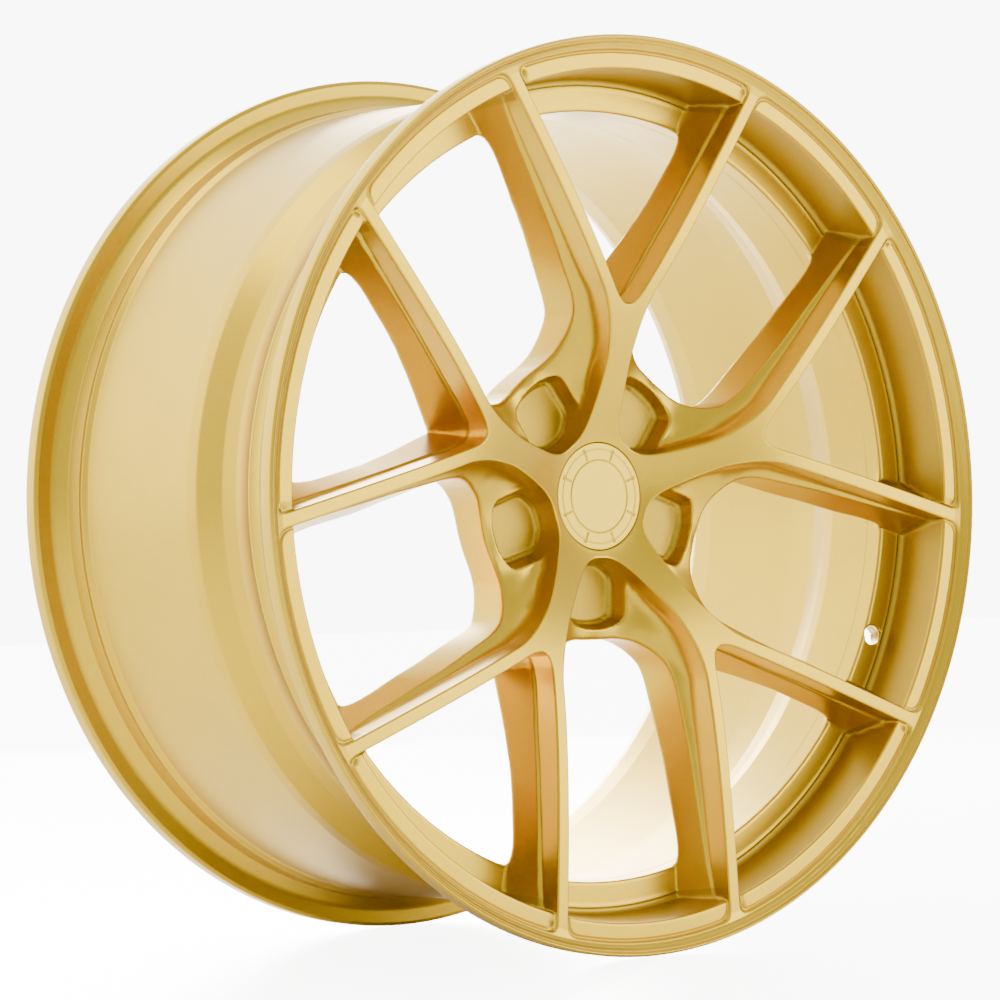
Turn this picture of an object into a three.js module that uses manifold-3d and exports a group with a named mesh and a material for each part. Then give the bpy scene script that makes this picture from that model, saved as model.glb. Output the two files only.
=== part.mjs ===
// Five-spoke flow-formed car wheel, 18 x 8.5 J, with its centre cap and centring ring.
// Millimetres. The wheel's axis is Y, its front face looks towards -Y, and +Z is up.
// The origin is on the axis, halfway between the outer faces of the two rim flanges.

import * as THREE from 'three';
import { mergeVertices } from 'three/addons/utils/BufferGeometryUtils.js';
import Module from 'manifold-3d';

const wasm = await Module();
wasm.setup();

// ---- driving dimensions -------------------------------------------------------------

const RIM_R = 231; // bead seat, half of the specified 462 mm of an 18 inch rim
const BEAD_WIDTH = 215.9; // 8.5 inches between the inner faces of the flanges
const FLANGE_R = 248.5; // J flange, 17.5 mm high
const FLANGE_T = 10.7; // from a bead seat's end to the wheel's outer face
const HALF_WIDTH = BEAD_WIDTH / 2 + FLANGE_T;
const WELL_R = 215; // drop centre, outside
const WALL_T = 4.8; // barrel wall

const SPOKES = 5;
const FIRST_SPOKE = 90; // degrees from +X
const PITCH = 360 / SPOKES;

const GAP = 0.3; // between neighbouring pieces
const ROUND_STEPS = 64; // facets around the rim, a multiple of four

const HUB_R = 80; // where the spokes grow out of the hub
const MOUNT_Y = -40; // rear mounting face: 40 mm offset from the rim's middle plane
const MOUNT_R = 72;
const BORE_R = 37; // rear bore, for the centring ring
const CAP_BORE_R = 28.2; // front bore, for the centre cap
const BORE_STEP_Y = -58; // shoulder between the two bores

const CAP_R = 29.4;
const CAP_FACE_Y = -75.2;
const CAP_SEAT_Y = CAP_FACE_Y + 3.4; // shoulder that the cap's flange stops on
const SPIGOT_BORE_R = 33.3; // centring ring, 66.6 mm hub spigot
const SPIGOT_LENGTH = 12;

const PAD_Y = -61.5; // floor of the five lug pockets
const POCKET_OUTER_R = 71;

const RING_WALL = [[210.7, -75.2], [224.7, -80.9], [230.5, -110]]; // ledge and wall inside the lip

// ---- small helpers --------------------------------------------------------------------

const radians = THREE.MathUtils.degToRad;

function faceY(r) {
  // the concave front face: nearly flat under the lip, sinking towards the hub
  const sink = HALF_WIDTH - FLANGE_T / 2 + CAP_FACE_Y + 0.3;
  const x = Math.max(r - 28, 0) / 62;
  return CAP_FACE_Y + 0.3 - sink * (1 - Math.exp(-Math.pow(x, 1.25)));
}

function toSolid(geometry) {
  geometry.deleteAttribute('normal');
  geometry.deleteAttribute('uv');
  const merged = mergeVertices(geometry, 1e-3);
  const vertProperties = new Float32Array(merged.attributes.position.array);
  const triVerts = new Uint32Array(merged.index.array);
  return new wasm.Manifold(new wasm.Mesh({ numProp: 3, vertProperties, triVerts }));
}

function toGeometry(solid) {
  const mesh = solid.getMesh();
  const geometry = new THREE.BufferGeometry();
  geometry.setAttribute('position', new THREE.BufferAttribute(new Float32Array(mesh.vertProperties), 3));
  geometry.setIndex(new THREE.BufferAttribute(new Uint32Array(mesh.triVerts), 1));
  geometry.computeVertexNormals();
  return geometry;
}

// A closed ring turned about Y from an outline of [radius, y] points, listed either way round.
function turned(profile, steps = ROUND_STEPS) {
  const points = profile.map(([r, y]) => new THREE.Vector2(r, y));
  if (THREE.ShapeUtils.area(points) < 0) points.reverse();
  return toSolid(new THREE.LatheGeometry([...points, points[0].clone()], steps));
}

// A plate seen from the front as the outline of [x, z] points, from yFront back to yRear.
function plate(outline, yFront, yRear) {
  const shape = new THREE.Shape(outline.map(([x, z]) => new THREE.Vector2(x, z)));
  const geometry = new THREE.ExtrudeGeometry(shape, { depth: yRear - yFront, bevelEnabled: false });
  geometry.rotateX(Math.PI / 2);
  geometry.translate(0, yRear, 0);
  return toSolid(geometry);
}

function turn(outline, degrees) {
  const c = Math.cos(radians(degrees));
  const s = Math.sin(radians(degrees));
  return outline.map(([x, z]) => [x * c - z * s, x * s + z * c]);
}

function smooth(points, steps) {
  const curve = new THREE.SplineCurve(points.map(([x, z]) => new THREE.Vector2(x, z)));
  return curve.getPoints(steps).map((p) => [p.x, p.y]);
}

function arc(radius, fromDeg, toDeg, steps) {
  const points = [];
  for (let i = 0; i <= steps; i += 1) {
    const a = radians(fromDeg + ((toDeg - fromDeg) * i) / steps);
    points.push([radius * Math.cos(a), radius * Math.sin(a)]);
  }
  return points;
}

// The part of a solid between the middle planes of two neighbouring spokes.
function sector(solid, fromDeg) {
  const from = radians(fromDeg);
  const to = radians(fromDeg + PITCH);
  const oneSide = solid.trimByPlane([-Math.sin(from), 0, Math.cos(from)], GAP / 2);
  return oneSide.trimByPlane([Math.sin(to), 0, -Math.cos(to)], GAP / 2);
}

const mirrored = (points) => points.map(([x, z]) => [x, -z]).reverse();

const range = (n) => Array.from({ length: n }, (_, i) => i);

// ---- spoke outlines, along +X from the wheel's centre -----------------------------------

// Edge of an arm: a straight line that leaves the spoke's middle at about 33 degrees.
const ARM_SLOPE = 0.647;
const armEdge = (u, offset) => offset + ARM_SLOPE * (u - 170);
const OUTER_EDGE = 56.2; // big-window edge of the arm's face where u = 170
const INNER_EDGE = 47.2; // small-window edge
const ARM_TIP_U = 226;
const SHOULDER = 5.6; // how much wider the arm is behind the shoulder on its flanks

// One side of the face outline: the waist behind the cap, then out along the arm.
function faceSide(grow) {
  const waist = [[26, 19.5], [30, 16.8], [40, 11.2], [52, 9.2], [66, 8.4], [80, 8.8], [95, 12]];
  const shifted = waist.map(([u, v]) => [u, v + grow]);
  const bend = [112, armEdge(112, OUTER_EDGE) + grow];
  return [...smooth([...shifted, bend], 18), [ARM_TIP_U, armEdge(ARM_TIP_U, OUTER_EDGE) + grow]];
}

// The V between the arms, with a small round root.
function crotch(grow) {
  const tip = [ARM_TIP_U, armEdge(ARM_TIP_U, INNER_EDGE) - grow];
  const rootU = 170 - (INNER_EDGE - grow) / ARM_SLOPE;
  const round = [[rootU + 9, armEdge(rootU + 9, INNER_EDGE) - grow], [rootU + 5, 1.9], [rootU + 4, 0]];
  return [tip, ...smooth(round, 5)];
}

function yOutline(side, grow) {
  const root = crotch(grow);
  return [...mirrored(side), ...side, ...root, ...mirrored(root).slice(1)];
}

const faceOutline = yOutline(faceSide(0), 0);

// Behind the shoulder the spoke flares out to the hub's rim.
const bodySide = [
  ...smooth([[70, 45], [74, 34], [82, 26.5], [94, 23.5], [112, 25.5]], 12),
  [ARM_TIP_U, armEdge(ARM_TIP_U, OUTER_EDGE) + SHOULDER],
];
const bodyOutline = yOutline([[20, 45], ...bodySide], SHOULDER);

// ---- one-piece wheel, in named regions ----------------------------------------------------

const FACE_RADII = [HUB_R + GAP, 92, 104, 120, 140, 165, 195, 230.2];
const SHOULDER_LINE = [[HUB_R + GAP, -71], [92, -77], [108, -86], [140, -92.5], [178, -96.5], [226.7, -101]];
const REAR_LINE = [[HUB_R + GAP, -46.5], [94, -52], [112, -60], [145, -71], [180, -78], [200, -78.5], [210.4, -75.6]];

function spokeSolid() {
  const [ledge, foot, lip] = RING_WALL;
  const wall = [[ledge[0] - GAP, ledge[1] - GAP], [foot[0] - GAP, foot[1] - GAP], [lip[0] - GAP, lip[1]]];
  const rear = [...REAR_LINE, ...wall.slice(1)];
  const front = FACE_RADII.map((r) => [r, faceY(r)]).reverse();
  const faceRing = turned([...rear, ...front]);
  const bodyRing = turned([...rear.slice(0, -1), ...[...SHOULDER_LINE].reverse()]);
  const face = plate(faceOutline, -HALF_WIDTH, 0).intersect(faceRing);
  const body = plate(bodyOutline, -HALF_WIDTH, 0).intersect(bodyRing);
  return face.add(body);
}

function hubSolid() {
  const hubFront = [[HUB_R, faceY(HUB_R)], [70, faceY(70)], [60, faceY(60)], [50, faceY(50)], [40, faceY(40)]];
  const cone = [[CAP_BORE_R, MOUNT_Y], [HUB_R, -46.5], ...hubFront, [CAP_BORE_R, CAP_FACE_Y]];
  const base = [[CAP_BORE_R, MOUNT_Y], [MOUNT_R, MOUNT_Y], [HUB_R, -46.5], [HUB_R, -71], [76, -69], [CAP_BORE_R, -69]];
  const star = range(SPOKES).map((i) => {
    const tongue = [...mirrored(faceSide(0)), ...faceSide(0)];
    return plate(turn(tongue, FIRST_SPOKE + i * PITCH), -HALF_WIDTH, 0);
  });
  const nave = turned([[CAP_BORE_R, MOUNT_Y], [33.8, MOUNT_Y], [33.8, faceY(33.8)], [CAP_BORE_R, CAP_FACE_Y]]);
  const arms = star.reduce((all, one) => all.add(one)).intersect(turned(cone));
  let hub = turned(base).add(arms).add(nave);
  for (const i of range(SPOKES)) {
    hub = hub.subtract(pocketSolid(FIRST_SPOKE + (i + 0.5) * PITCH));
  }
  const inside = CAP_BORE_R - 5;
  const seatR = CAP_R + GAP;
  const capSeat = turned([[inside, -90], [seatR, -90], [seatR, CAP_SEAT_Y], [inside, CAP_SEAT_Y]]);
  const rearBore = turned([[inside, BORE_STEP_Y], [BORE_R, BORE_STEP_Y], [BORE_R, 0], [inside, 0]]);
  return hub.subtract(capSeat).subtract(rearBore);
}

// Lug pocket: a D seen from the front, bounded towards the axis by the faces of two spokes.
function pocketSolid(degrees) {
  const half = [[38, 4], [39, 9], [47, 15], [57, 20], [65.5, 23], [68.2, 20]];
  const outer = arc(POCKET_OUTER_R, 14, -14, 6);
  const outline = [...half, ...outer, ...mirrored(half)];
  return plate(turn(outline.reverse(), degrees), -90, PAD_Y);
}

// The rim as rings side by side, each an outline of [radius, y] points.
const SEAT_R = RIM_R + 0.6; // where a bead seat meets its flange
const LIP_INNER_R = SEAT_R + 0.1;
const LEDGE_SPLIT_Y = -81;
const LEDGE_END_Y = -55;
const WELL_END_Y = -15;
const BARREL_END_Y = 84;

const OUTER_LIP = [
  [LIP_INNER_R, -112.2], // recessed band
  [240.8, -112.9],
  [241.4, -114.8], // lip face
  [245.8, -HALF_WIDTH + 0.4],
  [247.6, -HALF_WIDTH],
  [FLANGE_R, -HALF_WIDTH + 1.6],
  [FLANGE_R, -BEAD_WIDTH / 2 - 1.8],
  [246.6, -BEAD_WIDTH / 2],
  [238, -BEAD_WIDTH / 2 + 0.6],
  [LIP_INNER_R, -100.7],
];

const FRONT_BEAD_SEAT = [
  RING_WALL[1],
  RING_WALL[2],
  [LIP_INNER_R - GAP, -112.1],
  [LIP_INNER_R - GAP, -100.5],
  [RIM_R - 1, -87.5],
  [RIM_R + 0.2, -84.5], // safety hump
  [228, LEDGE_SPLIT_Y],
];

const WINDOW_LEDGE = [
  RING_WALL[0],
  [224, LEDGE_SPLIT_Y + GAP],
  [228, LEDGE_SPLIT_Y + GAP],
  [WELL_R + 1, -70.5],
  [WELL_R, -67],
  [WELL_R, LEDGE_END_Y],
  [WELL_R - WALL_T, LEDGE_END_Y],
  [WELL_R - WALL_T, -70],
];

const DROP_CENTRE = [
  [WELL_R, LEDGE_END_Y + GAP],
  [WELL_R, -38],
  [217, -29],
  [225.6, WELL_END_Y],
  [220.9, WELL_END_Y],
  [212.6, -31],
  [WELL_R - WALL_T, -39],
  [WELL_R - WALL_T, LEDGE_END_Y + GAP],
];

const BARREL = [
  [221, WELL_END_Y + GAP],
  [225.7, WELL_END_Y + GAP],
  [227, 10],
  [229, BARREL_END_Y],
  [224, BARREL_END_Y],
  [222, 8],
];

const REAR_BEAD_SEAT = [
  [224, BARREL_END_Y + GAP],
  [229, BARREL_END_Y + GAP],
  [RIM_R + 0.2, 88.5], // safety hump
  [RIM_R - 1, 91.5],
  [LIP_INNER_R - GAP, 100.5],
  [LIP_INNER_R - GAP, 110.6],
  [229, 108],
  [226, 100],
];

const REAR_LIP = [
  [LIP_INNER_R, 100.7],
  [238, BEAD_WIDTH / 2 - 0.6],
  [246.6, BEAD_WIDTH / 2],
  [FLANGE_R, BEAD_WIDTH / 2 + 1.8],
  [FLANGE_R, HALF_WIDTH - 1.6],
  [247.4, HALF_WIDTH],
  [241, HALF_WIDTH],
  [239, HALF_WIDTH - 2],
  [LIP_INNER_R, 110.9],
];

// ---- loose pieces ------------------------------------------------------------------------

const CAP_SLEEVE_R = CAP_BORE_R - GAP;
const CAP_SLEEVE_INSIDE_R = CAP_SLEEVE_R - 1.8;
const CAP_GROOVE_R = 20.4;
const CAP_LENGTH = 15;

function capSolid() {
  // moulded cap: a disc with a turned groove, a sleeve behind it and six snap fingers
  const profile = [
    [0, CAP_FACE_Y],
    [CAP_GROOVE_R, CAP_FACE_Y],
    [CAP_GROOVE_R + 0.3, CAP_FACE_Y + 0.4],
    [CAP_GROOVE_R + 0.8, CAP_FACE_Y + 0.4],
    [CAP_GROOVE_R + 1.1, CAP_FACE_Y],
    [CAP_R - 0.5, CAP_FACE_Y],
    [CAP_R, CAP_FACE_Y + 0.5],
    [CAP_R, CAP_SEAT_Y - GAP],
    [CAP_SLEEVE_R, CAP_SEAT_Y - GAP],
    [CAP_SLEEVE_R, CAP_FACE_Y + CAP_LENGTH],
    [CAP_SLEEVE_INSIDE_R, CAP_FACE_Y + CAP_LENGTH],
    [CAP_SLEEVE_INSIDE_R, CAP_SEAT_Y],
    [0, CAP_SEAT_Y],
  ];
  const points = profile.map(([r, y]) => new THREE.Vector2(r, y));
  let cap = toSolid(new THREE.LatheGeometry(points, 48));
  for (const i of range(6)) {
    const slot = [[22, -3], [30, -3], [30, 3], [22, 3]];
    cap = cap.subtract(plate(turn(slot, 30 + i * 60), CAP_FACE_Y + 5, CAP_FACE_Y + 20));
  }
  return cap;
}

const SPRING_WIRE_R = 0.8;
const SPRING_Y = CAP_FACE_Y + 11;

function springSolid() {
  // open wire ring that presses the snap fingers outwards from inside
  const middle = CAP_SLEEVE_INSIDE_R - GAP - SPRING_WIRE_R;
  const path = new THREE.CatmullRomCurve3(
    arc(middle, 12, 348, 40).map(([x, z]) => new THREE.Vector3(x, SPRING_Y, z)),
  );
  const section = new THREE.Shape();
  section.absarc(0, 0, SPRING_WIRE_R, 0, 2 * Math.PI);
  return toSolid(new THREE.ExtrudeGeometry(section, { steps: 44, curveSegments: 3, extrudePath: path }));
}

function spigotSolid() {
  const outer = BORE_R - GAP;
  return turned([
    [SPIGOT_BORE_R, MOUNT_Y - SPIGOT_LENGTH],
    [SPIGOT_BORE_R, MOUNT_Y - 1],
    [SPIGOT_BORE_R + 1, MOUNT_Y],
    [outer - 1, MOUNT_Y],
    [outer, MOUNT_Y - 1],
    [outer, MOUNT_Y - SPIGOT_LENGTH],
  ], 48);
}

// ---- materials and assembly ------------------------------------------------------------------

const goldPaint = { color: 0xd8b766, roughness: 0.36, metalness: 0.85 };
const capPaint = { color: 0xdcc078, roughness: 0.42, metalness: 0.7 };
const springSteel = { color: 0x9a9a98, roughness: 0.35, metalness: 1 };
const ringNylon = { color: 0x26272a, roughness: 0.55, metalness: 0 };

const wheel = new THREE.Group();

function addPiece(name, solid, look) {
  const mesh = new THREE.Mesh(toGeometry(solid), new THREE.MeshStandardMaterial(look));
  mesh.name = name;
  wheel.add(mesh);
  return mesh;
}

function addSectors(name, solid) {
  for (const i of range(SPOKES)) {
    addPiece(`${name}_${i + 1}`, sector(solid, FIRST_SPOKE - (i + 1) * PITCH), goldPaint);
  }
}

const hub = hubSolid();
addPiece('hub_plate', hub.trimByPlane([0, 1, 0], PAD_Y), goldPaint);
addSectors('hub_web', hub.trimByPlane([0, -1, 0], GAP - PAD_Y));
for (const i of range(SPOKES)) {
  const spoke = addPiece(`spoke_${i + 1}`, spokeSolid(), goldPaint);
  spoke.rotation.y = -radians(FIRST_SPOKE - i * PITCH);
}
addPiece('outer_lip', turned(OUTER_LIP), goldPaint);
addPiece('front_bead_seat', turned(FRONT_BEAD_SEAT), goldPaint);
addSectors('window_ledge', turned(WINDOW_LEDGE));
addSectors('drop_centre', turned(DROP_CENTRE));
addPiece('barrel', turned(BARREL), goldPaint);
addPiece('rear_bead_seat', turned(REAR_BEAD_SEAT), goldPaint);
addPiece('rear_lip', turned(REAR_LIP), goldPaint);
addPiece('centre_cap', capSolid(), capPaint);
addPiece('cap_spring_ring', springSolid(), springSteel);
addPiece('spigot_ring', spigotSolid(), ringNylon);

export default wheel;
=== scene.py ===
import math

import bmesh
import bpy
import numpy as np
from mathutils import Matrix, Vector


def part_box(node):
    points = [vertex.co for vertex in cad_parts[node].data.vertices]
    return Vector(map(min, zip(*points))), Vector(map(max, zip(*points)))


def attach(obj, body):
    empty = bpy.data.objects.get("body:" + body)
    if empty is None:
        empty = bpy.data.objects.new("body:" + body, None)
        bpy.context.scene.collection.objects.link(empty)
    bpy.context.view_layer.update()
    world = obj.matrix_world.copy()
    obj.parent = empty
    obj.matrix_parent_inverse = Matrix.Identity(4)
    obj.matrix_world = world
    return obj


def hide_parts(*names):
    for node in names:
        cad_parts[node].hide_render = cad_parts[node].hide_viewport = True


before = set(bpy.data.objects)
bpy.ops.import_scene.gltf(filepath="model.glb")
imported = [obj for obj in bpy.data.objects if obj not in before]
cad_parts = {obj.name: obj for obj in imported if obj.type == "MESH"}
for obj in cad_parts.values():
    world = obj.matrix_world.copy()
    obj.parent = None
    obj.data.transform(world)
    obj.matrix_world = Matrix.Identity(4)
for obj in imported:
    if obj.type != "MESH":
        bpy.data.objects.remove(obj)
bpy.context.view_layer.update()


# ---- wheel face: hub, five Y spokes and the ring they run into -----------------------
# One low-pressure aluminium casting. The face is machined and hand-dressed before paint,
# the flanks keep their casting draft, so every wall opens towards the front.

MM = 0.001
SPOKE_ANGLES = [90, 18, -54, -126, -198]
HALF_PITCH = math.radians(36)
MOUNT_FACE_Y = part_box("hub_plate")[1].y / MM
CAP_SEAT_Y, BORE_STEP_Y = -71.8, -58.0
CAP_SEAT_R, CAP_BORE_R, HUB_BORE_R = 29.7, 28.2, 37.0
BAND_Y, BAND_OUTER_R = -112.0, 240.8
WALL_R, SHELF_Y = 230.6, -80.3
LEDGE_OUTER_R, LEDGE_INNER_R, LEDGE_Y = 224.7, 210.65, -80.9
LEDGE_SLOPE = (0.377, 0.926)
BARREL_JOIN_R, BARREL_JOIN_Y = 206, -68
VALVE_R, VALVE_AT_R, VALVE_Y, VALVE_TURN = 5.65, 218.2, -78.3, math.radians(32)
VALVE_SPOKE = 3


def smooth_min(a, b, k):
    h = np.clip(0.5 + 0.5 * (b - a) / k, 0, 1)
    return b + (a - b) * h - k * h * (1 - h)


def smooth_max(a, b, k):
    return -smooth_min(-a, -b, k)


def spline(points, steps=5):
    """Catmull-Rom curve through the points."""
    p = np.array(points, float)
    p = np.vstack([2 * p[0] - p[1], p, 2 * p[-1] - p[-2]])
    out = []
    for a, b, c, d in zip(p[:-3], p[1:-2], p[2:-1], p[3:]):
        for t in np.arange(steps) / steps:
            square, cube = 2 * a - 5 * b + 4 * c - d, 3 * b - a - 3 * c + d
            out.append(0.5 * (2 * b + (c - a) * t + square * t**2 + cube * t**3))
    return np.array(out + [p[-2]])


def distance_to(curve, u, v):
    best = np.full(np.shape(u), 1e9)
    for (u0, v0), (u1, v1) in zip(curve[:-1], curve[1:]):
        du, dv = u1 - u0, v1 - v0
        t = np.clip(((u - u0) * du + (v - v0) * dv) / (du * du + dv * dv), 0, 1)
        best = np.minimum(best, (u - u0 - t * du) ** 2 + (v - v0 - t * dv) ** 2)
    return np.sqrt(best)


def polar(curve):
    """Radii and angles along a curve, for looking up the angle at a radius."""
    t = np.arange(0, len(curve) - 1, 0.02)
    u, v = (np.interp(t, np.arange(len(curve)), curve[:, n]) for n in (0, 1))
    return np.hypot(u, v), np.arctan2(v, u)


def with_line(points, offset, slope, end=236):
    """The curve carried on along the straight arm edge v = offset + slope (u - 170)."""
    return np.vstack([spline(points), [[end, offset + slope * (end - 170)]]])


# Plan curves of one half spoke: u along the spoke, v across it, millimetres from the axis.
WAIST = [
    (27.5, 20.0), (30.2, 16.5), (34.5, 13.2), (41, 10.9), (50, 9.6), (62, 8.6), (76, 8.3), (90, 10.3),
    (100, 13.0), (110, 17.3), (118, 22.45),
]
FACE_OUTER = with_line(WAIST, 56.2, 0.649)
FACE_INNER = with_line([(104.3, 0), (104.5, 1.8), (105.6, 3.8), (108, 6.6), (112, 9.7)], 47.2, 0.647)
HUB_EDGE = [
    (63.9, 46.4), (66.2, 43.2), (68.7, 39.6), (72, 34.8), (78.5, 28.3), (87, 24.0), (94, 22.2),
    (100, 22.3), (106, 24.2), (113, 27.5), (121, 31.8), (130, 36.7), (145, 44.9),
]
RIDGE_OUTER = with_line(HUB_EDGE, 58.9, 0.612)
RIDGE_INNER = with_line([(105.8, 0), (106.0, 1.6), (107.0, 3.4), (109.5, 6.1)], 45.0, 0.642)
POCKET = np.array([
    (59.2, 43.0), (63.2, 36.6), (65.2, 30.5), (65.6, 26.6), (64.6, 23.6), (62, 21.2), (50.5, 12.4),
    (44, 8), (32, 13), (26.5, 19.3),
])
FACE_OUTER_POLAR, FACE_INNER_POLAR = polar(FACE_OUTER), polar(FACE_INNER)
RIDGE_OUTER_POLAR, RIDGE_INNER_POLAR = polar(RIDGE_OUTER), polar(RIDGE_INNER)

# Depth of the shoulder behind the face, which widens into the scooped bridge at the hub.
SHOULDER = np.array([
    (63.9, 46.4, -69), (40, 29, -69.5), (59.1, 42.9, -70.8), (66, 25, -72.5), (60, 19, -73), (50, 12, -72.5),
    (72, 34.8, -71), (78.5, 28.3, -74), (75, 20, -76.5), (85, 15, -81), (87, 24.3, -77.5), (96, 22.5, -81),
    (95, 15, -84), (103, 21.6, -84.5), (110, 21, -87.5), (110, 8, -88.5), (104, 0, -87.5), (80, 0, -79),
    (60, 0, -73), (140, 38, -92.2), (140, 27, -92.8), (170, 57, -96), (170, 46, -96.6), (215, 86, -102),
    (215, 72, -101),
])


# Rear faces of the spokes, as radius and depth.
SPOKE_BACK = spline([
    (60, MOUNT_FACE_Y), (72, MOUNT_FACE_Y), (80.3, -46.5), (94, -52), (112, -60), (145, -71),
    (180, -78.2), (209, -79), (214, -60), (250, -60),
])


def thin_plate(a, b):
    d = np.maximum(((a[..., :, None, :] - b) ** 2).sum(-1), 1e-9)
    return 0.5 * d * np.log(d)


def fit_surface(points):
    """Thin-plate weights of a smooth surface through (u, v, depth) points."""
    p = points[:, :2] / 100
    n = len(p)
    system = np.zeros((n + 3, n + 3))
    system[:n, :n] = thin_plate(p, p)
    system[:n, n:] = system[n:, :n].T
    system[:n, n:] = np.column_stack([np.ones(n), p])
    system[n:, :n] = system[:n, n:].T
    return np.linalg.solve(system, np.append(points[:, 2], [0, 0, 0]))


SHOULDER_WEIGHTS = fit_surface(SHOULDER)


def shoulder_depth(u, v):
    p = np.stack([u, v], -1) / 100
    w = SHOULDER_WEIGHTS
    depth = w[-3] + w[-2] * p[..., 0] + w[-1] * p[..., 1]
    for weight, (pu, pv) in zip(w, SHOULDER[:, :2] / 100):
        d = np.maximum((p[..., 0] - pu) ** 2 + (p[..., 1] - pv) ** 2, 1e-9)
        depth = depth + weight * 0.5 * d * np.log(d)
    return depth


def face_depth(r):
    """The dished face: 75 mm ahead of the middle plane at the cap, nearing 113.5 mm at the rim."""
    return -113.5 + 38.5 * np.exp(-((np.maximum(r - 28, 0) / 62) ** 1.25))


def ramp(x, *knots):
    """Straight lines through knots given as x, value, x, value and so on."""
    return np.interp(x, knots[0::2], knots[1::2])


def face_top(r):
    """The machined face, rising at the end to meet the lip's cone."""
    return face_depth(r) - ramp(r, 238, 0, 242.2, 0.9, 243.6, 2.1)


def plan(u, v):
    """Everything about a point that doesn't depend on its depth, in the mirrored half sector."""
    r = np.hypot(u, v)
    angle = np.abs(np.arctan2(v, u))
    angle = np.where(angle > HALF_PITCH, 2 * HALF_PITCH - angle, angle)
    u, v = r * np.cos(angle), r * np.sin(angle)
    face_out = np.where(r < FACE_OUTER_POLAR[0][0], 9, np.interp(r, *FACE_OUTER_POLAR))
    face_in = np.where(r < FACE_INNER_POLAR[0][0], -9, np.interp(r, *FACE_INNER_POLAR))
    ridge_out = np.where(r < RIDGE_OUTER_POLAR[0][0], 9, np.interp(r, *RIDGE_OUTER_POLAR))
    ridge_in = np.where(r < RIDGE_INNER_POLAR[0][0], -9, np.interp(r, *RIDGE_INNER_POLAR))
    face = np.minimum(distance_to(FACE_OUTER, u, v), distance_to(FACE_INNER, u, v))
    ridge = np.minimum(distance_to(RIDGE_OUTER, u, v), distance_to(RIDGE_INNER, u, v))
    inner_side = angle < 0.5 * (np.maximum(face_in, 0) + face_out)
    inner_side &= r > 96
    pocket = distance_to(POCKET, u, v)
    pocket_out = np.interp(r, *[c[::-1] for c in polar(POCKET[:7])])
    side_line = (v - 12.4) * 11.5 - (u - 50.5) * 8.8 > 0
    in_pocket = (r > 33) & np.where(r > 62, angle > pocket_out, side_line | (r < 45)) & (r < 73.2)
    face = np.where((angle < face_out) & (angle > face_in), -face, face)
    inner_lean = ramp(u, 104, 0.27, 160, 0.22, 190, 0.3, 215, 0.46)
    outer_lean = ramp(u, 100, 0, 130, 0.25, 160, 0.43)
    outer_blend = ramp(r, 66, 7, 85, 11, 98, 9, 120, 6, 160, 2.5, 190, 1.6)
    return {
        "r": r,
        "u": u,
        "face": smooth_min(face, BAND_OUTER_R - r, 6.5),
        "ridge": np.where((angle < ridge_out) & (angle > ridge_in), -ridge, ridge),
        "pocket": np.where(in_pocket, -pocket, pocket),
        "top": face_top(r),
        "shoulder": shoulder_depth(u, v),
        "back": np.interp(r, *SPOKE_BACK.T),
        "lean": np.where(inner_side, inner_lean, outer_lean),
        "blend": np.where(inner_side, 1.5, outer_blend),
    }


def casting(p, y, valve=None):
    """Signed distance to the painted surface: negative inside the metal."""
    r = p["r"]
    draft = ramp(r, 50, 0.14, 95, 0.1, 120, 0.05)
    solid = smooth_max((p["face"] - draft * (y - p["top"])) / np.sqrt(1 + draft**2), p["top"] - y, 1.1)
    lean = p["lean"]
    flank = (p["ridge"] - lean * (y - p["shoulder"])) / np.sqrt(1 + lean**2)
    body = smooth_max(flank, p["shoulder"] - y, ramp(r, 85, 2.6, 115, 1.3))
    wall = p["pocket"] + 0.3 * (y + 71)
    floor = np.minimum(smooth_max(wall, y + 62.7, 2.0), smooth_max(wall + 1.3, y + 61.5, 2.0))
    body = smooth_max(body, -floor, 1.0)
    blend = np.where(p["pocket"] < 0, 3.0, np.minimum(3.0 + p["pocket"], p["blend"]))
    blend = np.where(r > 100, p["blend"], blend)
    solid = smooth_min(solid, body, blend)
    solid = smooth_max(solid, y - p["back"], 3.0)
    void = np.minimum(np.maximum(r - CAP_SEAT_R, y - CAP_SEAT_Y), r - CAP_BORE_R)
    void = np.minimum(void, np.maximum(r - HUB_BORE_R, BORE_STEP_Y - y))
    solid = smooth_max(solid, -void, 0.5)
    wall = -(r - WALL_R) * 0.9965 - (y + 110) * 0.083
    ledge = -(r - LEDGE_OUTER_R) * LEDGE_SLOPE[0] - (y - LEDGE_Y) * LEDGE_SLOPE[1]
    ring = smooth_min(smooth_min(wall, SHELF_Y - y, 3.2), smooth_max(ledge, r - LEDGE_OUTER_R, 0.8), 0.5)
    band = BAND_Y + 0.7 * np.exp(-(((p["face"] - 0.9) / 0.6) ** 2))
    ring = smooth_max(smooth_max(ring, band - y, 1.2), LEDGE_INNER_R - r, 1.4)
    solid = smooth_min(solid, ring, ramp(y, -111.5, 0.3, -107, 2.5, -96, 2.5, -82, 1.0))
    if valve is not None:
        solid = smooth_max(solid, VALVE_R - valve(p, y), 0.8)
    return solid


def lines(start, *runs):
    """Grid lines: each run is (end, first step, last step), and the steps grow evenly."""
    out = [start]
    for end, first, last in runs:
        n = max(1, round((end - out[-1]) / (0.5 * (first + last))))
        steps = np.linspace(first, last, n)
        out.extend(out[-1] + np.cumsum(steps) * (end - out[-1]) / steps.sum())
    return np.array(out)


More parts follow.
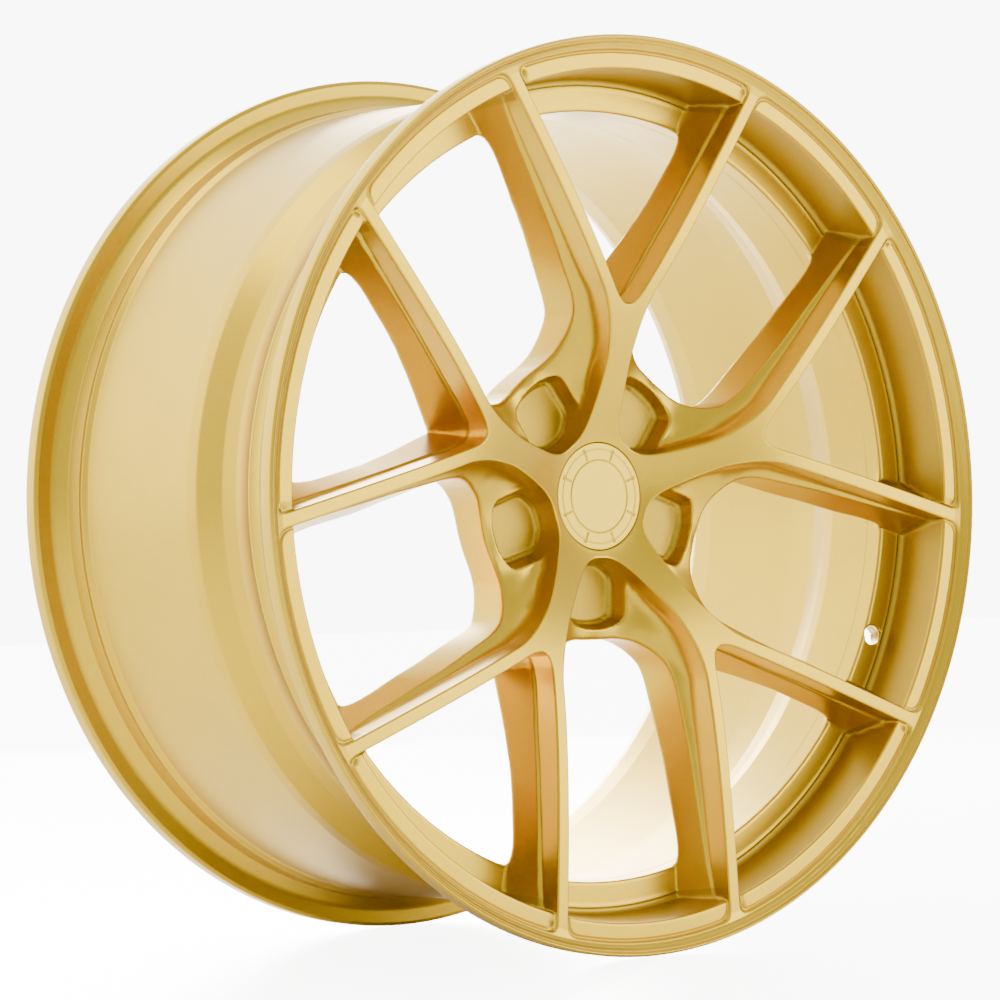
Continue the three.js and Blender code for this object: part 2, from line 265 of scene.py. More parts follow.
RADII = lines(
    26.9, (31, 0.5, 0.8), (62, 1.1, 1.2), (112, 1.2, 1.2), (130, 1.4, 2.4), (196, 2.4, 2.4),
    (222, 1.8, 1.3), (227, 0.9, 0.9), (238, 1.1, 0.9), (241.4, 0.5, 0.45), (244.3, 0.6, 0.6),
)
DEPTHS = lines(0, (2.2, 0.6, 0.6), (10, 1.0, 1.6), (17, 1.2, 1.2), (75, 1.4, 2.6)) / 75


def grid():
    """Angles that follow the arm's edges and depths that follow the face, one row for each radius."""
    outer = np.where(RADII < 34.2, HALF_PITCH * 0.93, np.interp(RADII, *FACE_OUTER_POLAR))
    inner = np.interp(RADII, *FACE_INNER_POLAR)
    width = np.where(RADII < 40, 0.5, ramp(RADII, 40, 0.5, 90, 0.45, 104.3, 0.3, 112, 0))
    inner = np.where(RADII < 104.3, 0, inner)
    inner = np.maximum(inner, outer * width)
    a = lines(0, (1, 0.18, 0.05))
    b = lines(0, (1, 0.085, 0.085))
    c = lines(0, (0.45, 0.022, 0.024), (1, 0.026, 0.05))
    finer = ramp(RADII, 90, 0, 120, 0.5)
    rows = []
    for i, o, w in zip(inner, outer, finer):
        past_edge = c[1:] * (1 - w + w * c[1:])
        rows.append(np.concatenate([a * i, i + b[1:] * (o - i), o + past_edge * (HALF_PITCH - o)]))
    angles = np.array(rows)
    half = angles[:, 1:2] * 0.5
    last = HALF_PITCH - angles[:, -2:-1]
    angles = np.hstack([-half, half, angles[:, 2:-2], HALF_PITCH - last * 0.5, HALF_PITCH + last * 0.5])
    top = face_top(RADII)
    end = ramp(RADII, 74, MOUNT_FACE_Y + 3, 85, -42, 115, -54, 150, -62, 200, -66, 244, -64)
    depths = top[:, None] - 1.7 + DEPTHS * (end - top + 1.7)[:, None]
    return angles, depths


def surface_net(f):
    """Cell vertices, in fractional grid indices, and quads where f changes sign."""
    sums = np.zeros(tuple(n - 1 for n in f.shape) + (3,))
    count = np.zeros(sums.shape[:3])
    crossings = []
    for axis in range(3):
        a = np.moveaxis(f, axis, 0)[:-1]
        b = np.moveaxis(f, axis, 0)[1:]
        e, i, j = np.nonzero((a < 0) != (b < 0))
        t = a[e, i, j] / (a[e, i, j] - b[e, i, j])
        rising = a[e, i, j] < 0
        spot = np.insert(np.stack([i, j], 1).astype(float), axis, e + t, axis=1)
        base = np.insert(np.stack([i, j], 1), axis, e, axis=1)
        others = [n for n in range(3) if n != axis]
        cells = []
        for di, dj in ((0, 0), (1, 0), (1, 1), (0, 1)):
            cell = base.copy()
            cell[:, others[0]] -= di
            cell[:, others[1]] -= dj
            cells.append(cell)
            ok = ((cell >= 0) & (cell < sums.shape[:3])).all(1)
            np.add.at(sums, tuple(cell[ok].T), spot[ok])
            np.add.at(count, tuple(cell[ok].T), 1)
        crossings.append((np.stack(cells, 1), rising if axis != 1 else ~rising))
    number = np.full(count.shape, -1)
    used = np.nonzero(count)
    number[used] = np.arange(len(used[0]))
    quads = []
    for cells, rising in crossings:
        ok = ((cells >= 0) & (cells < sums.shape[:3])).all((1, 2))
        q = number[tuple(np.moveaxis(cells[ok], 2, 0))]
        quads.append(np.where(rising[ok][:, None], q, q[:, ::-1]))
    return sums[used] / count[used][:, None], np.vstack(quads), np.stack(used, 1)


def bilinear(table, i, k):
    i0 = np.minimum(i.astype(int), table.shape[0] - 2)
    k0 = np.minimum(k.astype(int), table.shape[1] - 2)
    past_i, past_k = i - i0, k - k0
    low = table[i0, k0] * (1 - past_k) + table[i0, k0 + 1] * past_k
    high = table[i0 + 1, k0] * (1 - past_k) + table[i0 + 1, k0 + 1] * past_k
    return low * (1 - past_i) + high * past_i


def half_sector(valve=None):
    """Vertices (u, v, y), their normals and quads for the 36 degrees beside a spoke's axis."""
    angles, depths = grid()
    u = RADII[:, None] * np.cos(angles)
    v = RADII[:, None] * np.sin(angles)
    columns = {key: value[:, :, None] for key, value in plan(u, v).items()}
    spots, quads, cells = surface_net(casting(columns, depths[:, None, :], valve))
    r = np.interp(spots[:, 0], np.arange(len(RADII)), RADII)
    angle = bilinear(angles, spots[:, 0], spots[:, 1])
    at = np.stack([r * np.cos(angle), r * np.sin(angle), bilinear(depths, spots[:, 0], spots[:, 2])], 1)
    on_axis = cells[:, 1] == 0
    on_mirror = cells[:, 1] == angles.shape[1] - 2

    def value(points):
        return casting(plan(points[:, 0], points[:, 1]), points[:, 2], valve)

    def gradient(points, step):
        parts = [(value(points + step * e) - value(points - step * e)) / (2 * step) for e in np.eye(3)]
        return np.stack(parts, 1)

    def to_planes(points):
        points[on_axis, 1] = 0
        r_mirror = np.hypot(points[on_mirror, 0], points[on_mirror, 1])
        points[on_mirror, 0] = r_mirror * math.cos(HALF_PITCH)
        points[on_mirror, 1] = r_mirror * math.sin(HALF_PITCH)
        return points

    at = to_planes(at)
    for _ in range(3):
        g = gradient(at, 0.05)
        move = -value(at)[:, None] * g / np.maximum((g**2).sum(1, keepdims=True), 0.1)
        length = np.linalg.norm(move, axis=1, keepdims=True)
        at = to_planes(at + move * np.minimum(1, 0.5 / np.maximum(length, 1e-9)))
    normal = gradient(at, 0.3)
    normal /= np.maximum(np.linalg.norm(normal, axis=1, keepdims=True), 1e-9)
    centre = at[quads].mean(1)
    rc, yc = np.hypot(centre[:, 0], centre[:, 1]), centre[:, 2]
    keep = ~((rc > BARREL_JOIN_R) & (yc > BARREL_JOIN_Y))
    return at, normal, quads[keep]


def valve_distance(p, y):
    """Distance from the valve hole's axis, which stands square on the ledge."""
    r, angle = VALVE_AT_R, VALVE_TURN
    hole_u, hole_v = r * math.cos(angle), r * math.sin(angle)
    v = np.sqrt(np.maximum(p["r"] ** 2 - p["u"] ** 2, 0))
    radial = (p["u"] - hole_u) * math.cos(angle) + (v - hole_v) * math.sin(angle)
    tangent = -(p["u"] - hole_u) * math.sin(angle) + (v - hole_v) * math.cos(angle)
    depth = y - VALVE_Y
    square = radial * LEDGE_SLOPE[1] - depth * LEDGE_SLOPE[0]
    return np.hypot(square, tangent)


def placed(sector, degrees, mirrored):
    """One half sector turned to its spoke, in wheel coordinates."""
    at, normal, quads = (a.copy() for a in sector)
    if mirrored:
        at[:, 1] *= -1
        normal[:, 1] *= -1
    else:
        quads = quads[:, ::-1]
    c, s = math.cos(math.radians(degrees)), math.sin(math.radians(degrees))
    out = []
    for a in (at, normal):
        out.append(np.stack([a[:, 0] * c - a[:, 1] * s, a[:, 2], a[:, 0] * s + a[:, 1] * c], 1))
    return out[0], out[1], quads


def mesh_object(name, vertices, faces, normals=None):
    """A smooth mesh object from arrays in millimetres; a face's repeated corners are dropped."""
    faces = [tuple(dict.fromkeys(f)) for f in np.asarray(faces).tolist()]
    faces = [f for f in faces if len(f) > 2]
    mesh = bpy.data.meshes.new(name)
    mesh.from_pydata((np.asarray(vertices) * MM).tolist(), [], faces)
    mesh.shade_smooth()
    if normals is not None:
        mesh.normals_split_custom_set_from_vertices(np.asarray(normals).tolist())
    obj = bpy.data.objects.new(name, mesh)
    bpy.context.scene.collection.objects.link(obj)
    return obj


def gathered(parts):
    """Joins (vertices, normals, quads) parts: vertices that coincide are shared, unused ones dropped."""
    vertices = np.vstack([p[0] for p in parts])
    normals = np.vstack([p[1] for p in parts])
    shifts = np.cumsum([0] + [len(p[0]) for p in parts[:-1]])
    faces = np.vstack([p[2] + s for p, s in zip(parts, shifts)])
    keys = np.round(vertices * 200).astype(np.int64)
    _, first, same = np.unique(keys, axis=0, return_index=True, return_inverse=True)
    faces = same.reshape(-1)[faces]
    used, faces = np.unique(faces, return_inverse=True)
    return vertices[first[used]], normals[first[used]], faces.reshape(-1, 4)


plain_half = half_sector()
valve_half = half_sector(valve_distance)
SPLIT_HUB, SPLIT_RING = 80, 214
hub_parts, ring_parts, spoke_parts = [], [], []
for number, degrees in enumerate(SPOKE_ANGLES, 1):
    own = []
    for mirrored in (False, True):
        half = valve_half if number == VALVE_SPOKE and not mirrored else plain_half
        radius = np.hypot(*half[0][half[2]].mean(1)[:, :2].T)
        at, normal, quads = placed(half, degrees, mirrored)
        hub_parts.append((at, normal, quads[radius < SPLIT_HUB]))
        own.append((at, normal, quads[(radius >= SPLIT_HUB) & (radius < SPLIT_RING)]))
        ring_parts.append((at, normal, quads[radius >= SPLIT_RING]))
    spoke_parts.append(own)


class Value:
    """A shader socket that can be used in sums and products."""

    tree = None

    def __init__(self, socket):
        self.socket = socket

    @classmethod
    def node(cls, kind, settings=None, output=0, **inputs):
        """Adds a node of this kind, sets it up, then links or fills its inputs."""
        made = cls.tree.nodes.new(kind)
        for key, value in (settings or {}).items():
            setattr(made, key, value)
        for key, value in inputs.items():
            key = int(key[1:]) if key[0] == "n" and key[1:].isdigit() else key.replace("_", " ")
            target = made.inputs[key]
            if isinstance(value, Value):
                cls.tree.links.new(value.socket, target)
            else:
                target.default_value = value
        return Value(made.outputs[output])

    @classmethod
    def maths(cls, operation, *values, clamp=False):
        inputs = {f"n{i}": v for i, v in enumerate(values)}
        return cls.node("ShaderNodeMath", {"operation": operation, "use_clamp": clamp}, **inputs)

    def __add__(self, other):
        return Value.maths("ADD", self, other)

    def __sub__(self, other):
        return Value.maths("SUBTRACT", self, other)

    def __mul__(self, other):
        return Value.maths("MULTIPLY", self, other)

    def __rsub__(self, other):
        return Value.maths("SUBTRACT", other, self)

    __radd__, __rmul__ = __add__, __mul__


def material(name, build):
    """A node material whose surface is the shader that build() returns."""
    made = bpy.data.materials.new(name)
    made.use_nodes = True
    Value.tree = made.node_tree
    made.node_tree.nodes.clear()
    output = made.node_tree.nodes.new("ShaderNodeOutputMaterial")
    made.node_tree.links.new(build().socket, output.inputs["Surface"])
    return made


def mixed(factor, a, b):
    """Colour a where factor is 0, colour b where it is 1."""
    return Value.node("ShaderNodeMix", {"data_type": "RGBA"}, 2, n0=factor, n6=a, n7=b)


def noise(position, scale, detail=3.0, roughness=0.5):
    inputs = {"Vector": position, "Scale": scale, "Detail": detail, "Roughness": roughness}
    return Value.node("ShaderNodeTexNoise", None, 0, **inputs)


def within(value, low, high):
    """1 between the two limits, fading out over a millimetre at each."""
    rise = Value.maths("MULTIPLY", value - low, 1000.0, clamp=True)
    return rise * Value.maths("MULTIPLY", high - value, 1000.0, clamp=True)


def satin_gold(deep=(0.50, 0.312, 0.003, 1), pale=(0.57, 0.362, 0.007, 1), roughness=0.27):
    """Gold metallic base coat under satin clear: fine flake, faint orange peel and light handling dust; the
    recessed pad floors and ring wall are rougher as cast and darkened with painted shade.
    """
    place = Value.node("ShaderNodeTexCoord", None, 3)
    flake = Value.node("ShaderNodeTexVoronoi", {"feature": "F1"}, 1, Vector=place, Scale=2600.0)
    glint = Value.node("ShaderNodeSeparateColor", None, 0, Color=flake)
    cloud = noise(place, 26.0, 4.0)
    dust = noise(place, 9.0, 5.0, 0.6)
    depth = Value.node("ShaderNodeSeparateXYZ", None, 1, Vector=place)
    in_plane = Value.node("ShaderNodeVectorMath", {"operation": "MULTIPLY"}, 0, n0=place, n1=(1, 0, 1))
    radius = Value.node("ShaderNodeVectorMath", {"operation": "LENGTH"}, 1, n0=in_plane)
    pad_floor = within(depth, -0.066, -0.05) * within(radius, 0.03, 0.078)
    ring_wall = within(depth, -0.1105, -0.079) * within(radius, 0.2235, 0.233)
    as_cast_and_recess_shade = Value.maths("MAXIMUM", pad_floor, ring_wall)
    # Pad floors and ring wall: base colour pulled towards dark brown is painted shade in these recesses;
    # their extra roughness and bump are the real as-cast surface.
    tone = mixed(as_cast_and_recess_shade * 0.4, mixed(cloud, deep, pale), (0.2, 0.13, 0.012, 1))
    tone = mixed(glint * 0.14, tone, (0.85, 0.66, 0.08, 1))
    peel = noise(place, 900.0, 2.0) + as_cast_and_recess_shade * noise(place, 1500.0, 3.0) * 2.0
    bump = Value.node("ShaderNodeBump", None, 0, Strength=0.07, Distance=0.0004, Height=peel)
    return Value.node(
        "ShaderNodeBsdfPrincipled", None, 0,
        Base_Color=tone,
        Metallic=0.98,
        Roughness=roughness + dust * 0.06 + glint * 0.03 + as_cast_and_recess_shade * 0.15,
        Coat_Weight=0.1,
        Coat_Roughness=0.2,
        Normal=bump,
    )


gold = material("satin_gold", satin_gold)
at, normal, quads = gathered(hub_parts)
hub = mesh_object("hub", at, quads, normal)
hub.data.materials.append(gold)
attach(hub, "wheel")
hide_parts("hub_plate", *[f"hub_web_{n}" for n in range(1, 6)])
for number, own in enumerate(spoke_parts, 1):
    at, normal, quads = gathered(own)
    spoke = mesh_object(f"forked_spoke_{number}", at, quads, normal)
    spoke.data.materials.append(gold)
    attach(spoke, "wheel")
    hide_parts(f"spoke_{number}")


# ---- rim: lip, flanges, bead seats and flow-formed barrel ----------------------------
# The same casting, spun hot over a mandrel behind the face, so the barrel is thin and
# smooth. Lip, bead seats and flanges are turned on a lathe before painting.

RIM_STEPS = 360


def rounded(profile, steps=4):
    """Profile points (radius, y, corner radius) as a line with its corners rounded."""
    points = [np.array(p[:2], float) for p in profile]
    radii = [p[2] if len(p) > 2 else 0 for p in profile]
    out = [points[0]]
    for a, b, c, radius in zip(points[:-2], points[1:-1], points[2:], radii[1:-1]):
        to_a, to_c = (a - b) / np.linalg.norm(a - b), (c - b) / np.linalg.norm(c - b)
        turn = math.acos(max(-1, min(1, float(to_a @ to_c))))
        if radius == 0 or math.pi - turn < 0.02:
            out.append(b)
            continue
        reach = radius / math.tan(turn / 2)
        reach = min(reach, 0.45 * np.linalg.norm(a - b), 0.45 * np.linalg.norm(c - b))
        start, end = b + to_a * reach, b + to_c * reach
        for t in np.linspace(0, 1, steps + 1):
            out.append((1 - t) ** 2 * start + 2 * t * (1 - t) * b + t * t * end)
    out.append(points[-1])
    return np.array(out)


def lathe(name, profile, steps, relief=None):
    """A profile turned about Y; relief(radius, angle) sinks its surface along Y."""
    angles = np.arange(steps) * 2 * math.pi / steps
    n = len(profile)
    r, y = np.array(profile).T
    depth = np.broadcast_to(y, (steps, n))
    if relief is not None:
        depth = depth + relief(r[None, :], angles[:, None])
    ring = np.stack([np.outer(np.cos(angles), r), depth, np.outer(np.sin(angles), r)], -1)
    i = np.arange(n - 1)[None, :]
    s = np.arange(steps)[:, None]
    after = (s + 1) % steps
    quads = np.stack(np.broadcast_arrays(s * n + i, after * n + i, after * n + i + 1, s * n + i + 1), -1)
    return mesh_object(name, ring.reshape(-1, 3), quads.reshape(-1, 4))


FLANGE_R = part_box("rear_lip")[1].x / MM
FRONT_Y, REAR_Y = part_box("outer_lip")[0].y / MM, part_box("rear_lip")[1].y / MM
LIP = rounded([
    (242.4, -113.85), (243.4, -114.85, 0.2), (245.3, -117.05, 0.5), (245.7, -116.7, 0.15),
    (246.0, -117.6, 0.2), (247.2, FRONT_Y, 1.2), (FLANGE_R, -117.0, 1.4), (FLANGE_R, -109.2, 1.2),
    (246.4, -107.9, 0.8), (238.5, -107.2, 5), (231.8, -100.6, 2), (229.8, -88.2, 2), (231.3, -85, 1),
    (230.4, -81.5, 2), (219, -71.5, 5), (215.2, -66, 4), (215, -60),
])
BARREL = rounded([
    (215, -60), (215, -51.2), (215.3, -50.8, 0.3), (215.3, -49.6, 0.3), (215, -49.2), (215, -38, 3),
    (217.3, -28.5, 4), (225.3, -16, 4), (226.2, -8, 6), (229, 84.5, 3), (231.3, 87.5, 1.2),
    (231.3, 89.4, 1.2), (229.9, 91.5, 2), (231.8, 100.6, 2), (238, 107.2, 5), (246.4, 107.9, 0.8),
    (FLANGE_R, 109.2, 1.2), (FLANGE_R, 117, 1.4), (247.2, REAR_Y, 1.2), (241.4, REAR_Y, 1.2),
    (238.6, 116.4, 2), (229.2, 108.2, 4), (226, 100, 6), (224.2, 84, 6), (222, 8, 6), (220.8, -13, 4),
    (212.8, -30.5, 4), (210.6, -39, 4), (210.55, -69),
])
at, normal, quads = gathered(ring_parts)
face_ring = mesh_object("face_ring", at, quads, normal)
lip = lathe("lip", LIP, RIM_STEPS)


def drilled(obj, centre, direction, radius, length):
    """Cuts a round hole along a line through an object's surface and clears the walls it leaves."""
    mesh = bpy.data.meshes.new("drill")
    work = bmesh.new()
    bmesh.ops.create_cone(work, cap_ends=True, segments=48, radius1=radius, radius2=radius, depth=length)
    work.to_mesh(mesh)
    work.free()
    drill = bpy.data.objects.new("drill", mesh)
    bpy.context.scene.collection.objects.link(drill)
    drill.matrix_world = Matrix.Translation(centre) @ direction.to_track_quat("Z", "Y").to_matrix().to_4x4()
    cut = obj.modifiers.new("drilled", "BOOLEAN")
    cut.operation, cut.solver, cut.object = "DIFFERENCE", "FAST", drill
    graph = bpy.context.evaluated_depsgraph_get()
    finished = bpy.data.meshes.new_from_object(obj.evaluated_get(graph))
    obj.modifiers.clear()
    obj.data = finished
    bpy.data.objects.remove(drill)
    work = bmesh.new()
    work.from_mesh(finished)
    plugs = []
    for face in work.faces:
        offset = face.calc_center_median() - centre
        along = offset.dot(direction)
        if abs(along) <= length * 0.51 and (offset - direction * along).length < radius:
            plugs.append(face)
    bmesh.ops.delete(work, geom=plugs, context="FACES")
    work.to_mesh(finished)
    work.free()


valve_heading = math.radians(SPOKE_ANGLES[VALVE_SPOKE - 1]) + VALVE_TURN
outwards = Vector((math.cos(valve_heading), 0, math.sin(valve_heading)))
valve_axis = outwards * LEDGE_SLOPE[0] + Vector((0, LEDGE_SLOPE[1], 0))
DRILL_LENGTH, DRILL_AHEAD, DRILL_R = 14, 9, VALVE_R - 0.2
valve_centre = (outwards * VALVE_AT_R + Vector((0, VALVE_Y, 0)) + valve_axis * DRILL_AHEAD) * MM
drilled(lip, valve_centre, valve_axis, DRILL_R * MM, DRILL_LENGTH * MM)
barrel = lathe("flow_formed_barrel", BARREL, RIM_STEPS)
for piece in (face_ring, lip, barrel):
    piece.data.materials.append(gold)
    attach(piece, "wheel")
LEDGE_NODES = [f"window_ledge_{n}" for n in range(1, 6)]
WELL_NODES = [f"drop_centre_{n}" for n in range(1, 6)]
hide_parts("front_bead_seat", *LEDGE_NODES)
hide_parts("outer_lip", "front_bead_seat")
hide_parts(*WELL_NODES, "barrel", "rear_bead_seat", "rear_lip")


# ---- centre cap ----------------------------------------------------------------------
# A moulded plastic cap painted with the wheel. It snaps into the hub's front bore: a flat
# disc with two fine grooves and eight index marks, and a sleeve behind it.

CAP_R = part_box("centre_cap")[1].x / MM
CAP_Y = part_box("centre_cap")[0].y / MM
CAP_SLEEVE_R, CAP_LENGTH = 27.9, 15.0
CAP_MARKS, CAP_GROOVE_R, CAP_OUTER_GROOVE_R = 8, 20.0, 25.9


def cap_relief(r, angle):
    """Grooves and radial index marks, each mark ending in a dot."""
    pitch = 2 * math.pi / CAP_MARKS
    across = ((angle / pitch) % 1 - 0.5) * pitch * r
    mark = np.exp(-((across / 0.4) ** 2)) * (r > 21.0) * (r < 27.2)
    dot = np.exp(-((across**2 + (r - 26.4) ** 2) / 0.7))
    inner_groove = 0.4 * np.exp(-(((r - CAP_GROOVE_R) / 0.3) ** 2))
    outer_groove = 0.2 * np.exp(-(((r - CAP_OUTER_GROOVE_R) / 0.25) ** 2))
    grooves = inner_groove + outer_groove
    return np.where(r < CAP_R - 1, np.maximum(grooves, np.maximum(mark * 0.45, dot * 0.6)), 0)


disc_radii = lines(0.001, (19, 2, 1.5), (21, 0.15, 0.15), (25, 0.4, 0.4), (28.2, 0.17, 0.17))
CAP_EDGE = rounded([
    (28.3, CAP_Y), (CAP_R, CAP_Y, 0.6), (CAP_R, CAP_Y + 3.1, 0.1), (CAP_SLEEVE_R, CAP_Y + 3.1),
    (CAP_SLEEVE_R, CAP_Y + CAP_LENGTH, 0.4), (26.1, CAP_Y + CAP_LENGTH, 0.4), (26.1, CAP_Y + 3.4),
    (0.001, CAP_Y + 3.4),
])
cap_profile = np.vstack([np.column_stack([disc_radii, np.full(len(disc_radii), CAP_Y)]), CAP_EDGE])


def disc_relief(r, angle):
    """The relief on the front disc alone, not on the edge and sleeve behind it."""
    on_disc = np.arange(r.size) < len(disc_radii)
    return np.where(on_disc, cap_relief(r, angle), 0)


def cap_gold():
    """The same gold over plastic, slightly paler and rougher."""
    return satin_gold(deep=(0.56, 0.375, 0.015, 1), pale=(0.62, 0.415, 0.025, 1), roughness=0.34)


cap = lathe("centre_cap_disc", cap_profile, 720, disc_relief)
cap.data.materials.append(material("cap_gold", cap_gold))
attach(cap, "cap")
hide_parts("centre_cap")


# ---- cap's spring ring ---------------------------------------------------------------
# A loop of drawn spring wire with a gap in it. It sits inside the cap's sleeve and
# presses the sleeve outwards into the bore.

WIRE_R, WIRE_LOOP_R = 0.8, 25.0
WIRE_Y = CAP_Y + 11


def swept_loop(name, loop_r, y, wire_r, start, end, steps, sides=16):
    """Round wire bent to an open loop about Y, with domed ends."""
    ends = [0.05, 0.5, 0.87]
    turns = np.concatenate([np.full(3, start), np.linspace(start, end, steps), np.full(3, end)])
    thickness = wire_r * np.array(ends + [1] * steps + ends[::-1])
    push = np.array([-1, -0.87, -0.5] + [0] * steps + [0.5, 0.87, 1]) * wire_r
    around = np.arange(sides) * 2 * math.pi / sides
    out = []
    for turn, thick, ahead in zip(np.radians(turns), thickness, push):
        r = loop_r + thick * np.cos(around)
        centre = np.array([-math.sin(turn), math.cos(turn)]) * ahead
        ring = [r * math.cos(turn) + centre[0], y + thick * np.sin(around), r * math.sin(turn) + centre[1]]
        out.append(np.stack(ring, 1))
    count = len(out)
    i, s = np.arange(count - 1)[:, None], np.arange(sides)[None, :]
    after = (s + 1) % sides
    here, beyond = i * sides, (i + 1) * sides
    quads = np.stack(np.broadcast_arrays(here + s, beyond + s, beyond + after, here + after), -1)
    return mesh_object(name, np.vstack(out), quads.reshape(-1, 4))


def spring_wire():
    """Bright drawn steel with fine lengthwise die marks and a trace of oil."""
    place = Value.node("ShaderNodeTexCoord", None, 3)
    streak = noise(Value.node("ShaderNodeMapping", None, 0, Vector=place, Scale=(40, 2500, 40)), 1.0, 3.0)
    oil = noise(place, 60.0, 3.0)
    bump = Value.node("ShaderNodeBump", None, 0, Strength=0.2, Distance=0.0001, Height=streak)
    return Value.node(
        "ShaderNodeBsdfPrincipled", None, 0,
        Base_Color=mixed(streak, (0.42, 0.42, 0.41, 1), (0.62, 0.61, 0.59, 1)),
        Metallic=1.0,
        Roughness=0.24 + oil * 0.14,
        Normal=bump,
    )


spring = swept_loop("cap_spring_wire", WIRE_LOOP_R, WIRE_Y, WIRE_R, start=12, end=348, steps=120)
spring.data.materials.append(material("drawn_spring_steel", spring_wire))
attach(spring, "cap")
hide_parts("cap_spring_ring")


# ---- centring ring -------------------------------------------------------------------
# A moulded black nylon ring pressed into the hub's rear bore. It takes up the space
# between the bore and the car hub's spigot, and its rear edges are bevelled.

SPIGOT_R, SPIGOT_BORE_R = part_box("spigot_ring")[1].x / MM, 33.3
SPIGOT_FRONT_Y, SPIGOT_REAR_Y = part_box("spigot_ring")[0].y / MM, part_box("spigot_ring")[1].y / MM
SPIGOT_BEVEL, SPIGOT_SEAM_Y = 1, -46
SPIGOT = rounded([
    (SPIGOT_R, SPIGOT_SEAM_Y), (SPIGOT_R, SPIGOT_FRONT_Y, 0.6), (SPIGOT_BORE_R, SPIGOT_FRONT_Y, 0.6),
    (SPIGOT_BORE_R, SPIGOT_REAR_Y - SPIGOT_BEVEL, 0.3), (SPIGOT_BORE_R + SPIGOT_BEVEL, SPIGOT_REAR_Y, 0.3),
    (SPIGOT_R - SPIGOT_BEVEL, SPIGOT_REAR_Y, 0.3), (SPIGOT_R, SPIGOT_REAR_Y - SPIGOT_BEVEL, 0.3),
    (SPIGOT_R, SPIGOT_SEAM_Y),
])


def moulded_nylon():
    """Black nylon with a spark-eroded mould grain and rubbed, slightly greyer patches."""
    place = Value.node("ShaderNodeTexCoord", None, 3)
    grain = noise(place, 1400.0, 3.0)
    rubbed = noise(place, 70.0, 4.0, 0.6)
    bump = Value.node("ShaderNodeBump", None, 0, Strength=0.25, Distance=0.0002, Height=grain)
    return Value.node(
        "ShaderNodeBsdfPrincipled", None, 0,
        Base_Color=mixed(rubbed, (0.012, 0.012, 0.014, 1), (0.04, 0.04, 0.043, 1)),
        Roughness=0.42 + grain * 0.15,
        Normal=bump,
    )


spigot = lathe("centring_ring", SPIGOT, 240)
spigot.data.materials.append(material("moulded_nylon", moulded_nylon))
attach(spigot, "centring_ring")
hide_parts("spigot_ring")


# ---- studio: pale floor, soft lights and camera --------------------------------------

FLOOR_HALF, FLOOR_CLEARANCE = 6.0, 0.0005
BACKDROP_WHITE, FLOOR_GLOW = 9.0, 7.5
ROOM_BRIGHT_SIDE = (-0.1, 0.97, 0.2)

floor_mesh = bpy.data.meshes.new("floor")
floor_corners = [(x * FLOOR_HALF, y * FLOOR_HALF, 0) for x, y in ((-1, -1), (1, -1), (1, 1), (-1, 1))]
floor_mesh.from_pydata(floor_corners, [], [(0, 1, 2, 3)])
floor = bpy.data.objects.new("floor", floor_mesh)
floor.location.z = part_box("rear_lip")[0].z - FLOOR_CLEARANCE
bpy.context.scene.collection.objects.link(floor)


def gloss_white():
    """White gloss floor that glows only to the camera, so it reads as a seamless white sweep."""
    seen = Value.node("ShaderNodeLightPath", None, 0)
    return Value.node(
        "ShaderNodeBsdfPrincipled", None, 0,
        Base_Color=(0.9, 0.9, 0.9, 1),
        Roughness=0.25,
        Emission_Color=mixed(seen, (0, 0, 0, 1), (1, 1, 1, 1)),
        Emission_Strength=FLOOR_GLOW,
    )


floor_mesh.materials.append(material("gloss_white", gloss_white))

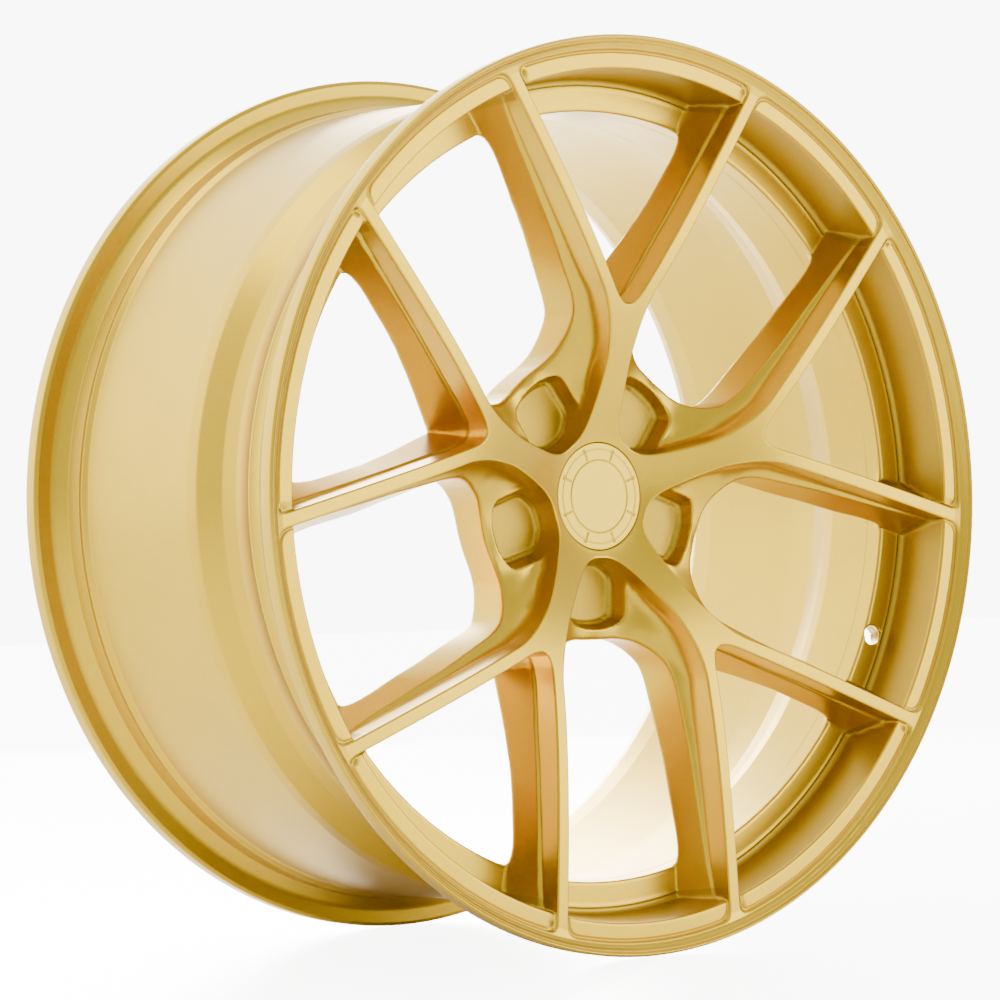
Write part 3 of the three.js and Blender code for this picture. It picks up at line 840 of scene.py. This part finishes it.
# The room: bright behind and above, dimmer in front, white where the camera sees it directly.
world = bpy.data.worlds.new("studio")
bpy.context.scene.world = world
world.use_nodes = True
Value.tree = world.node_tree
backdrop = world.node_tree.nodes["Background"]
heading = Value.node("ShaderNodeTexCoord", None, 0)
dot = {"operation": "DOT_PRODUCT"}
towards = Value.node("ShaderNodeVectorMath", dot, 1, n0=heading, n1=ROOM_BRIGHT_SIDE)
lift = Value.maths("POWER", Value.maths("ADD", towards * 0.5, 0.5, clamp=True), 2.6)
room = mixed(lift, (1.05, 1.05, 1.05, 1), (5.2, 5.2, 5.2, 1))
directly_seen = Value.node("ShaderNodeLightPath", None, 0)
shown = mixed(directly_seen, room, (BACKDROP_WHITE, BACKDROP_WHITE, BACKDROP_WHITE, 1))
world.node_tree.links.new(shown.socket, backdrop.inputs["Color"])
backdrop.inputs["Strength"].default_value = 1.0


def area_light(name, place, width, height, watts):
    """A rectangular soft light aimed at the middle of the wheel."""
    light = bpy.data.lights.new(name, "AREA")
    light.shape, light.size, light.size_y, light.energy = "RECTANGLE", width, height, watts
    lamp = bpy.data.objects.new(name, light)
    bpy.context.scene.collection.objects.link(lamp)
    aimed = Vector(place).to_track_quat("Z", "Y").to_matrix().to_4x4()
    lamp.matrix_world = Matrix.Translation(place) @ aimed


area_light("front_right_softbox", (2.3, -2.9, 0.4), width=2.2, height=2.6, watts=95)
area_light("overhead_softbox", (-0.9, 0.3, 2.6), width=2.0, height=1.6, watts=40)
area_light("barrel_light", (0.9, 1.7, 0.5), width=1.2, height=1.2, watts=75)

# The camera, in the wheel's frame before the wheel's own small turn about its axis.
AZIMUTH, ELEVATION, WHEEL_TURN = math.radians(-38.33), math.radians(-1.447), math.radians(1.14)
CAMERA_PLACE = (-1.25704, -1.57732, -0.0515)
back = Vector((
    math.sin(AZIMUTH) * math.cos(ELEVATION), -math.cos(AZIMUTH) * math.cos(ELEVATION), math.sin(ELEVATION),
))
right = Vector((math.cos(AZIMUTH), math.sin(AZIMUTH), 0))
pose = Matrix((right, back.cross(right), back)).transposed().to_4x4()
pose.translation = CAMERA_PLACE
camera_data = bpy.data.cameras.new("camera")
camera_data.sensor_width, camera_data.lens = 36, 128.44
camera_data.clip_start, camera_data.clip_end = 0.05, 50
camera = bpy.data.objects.new("camera", camera_data)
camera.matrix_world = Matrix.Rotation(WHEEL_TURN, 4, "Y") @ pose
bpy.context.scene.collection.objects.link(camera)
bpy.context.scene.camera = camera
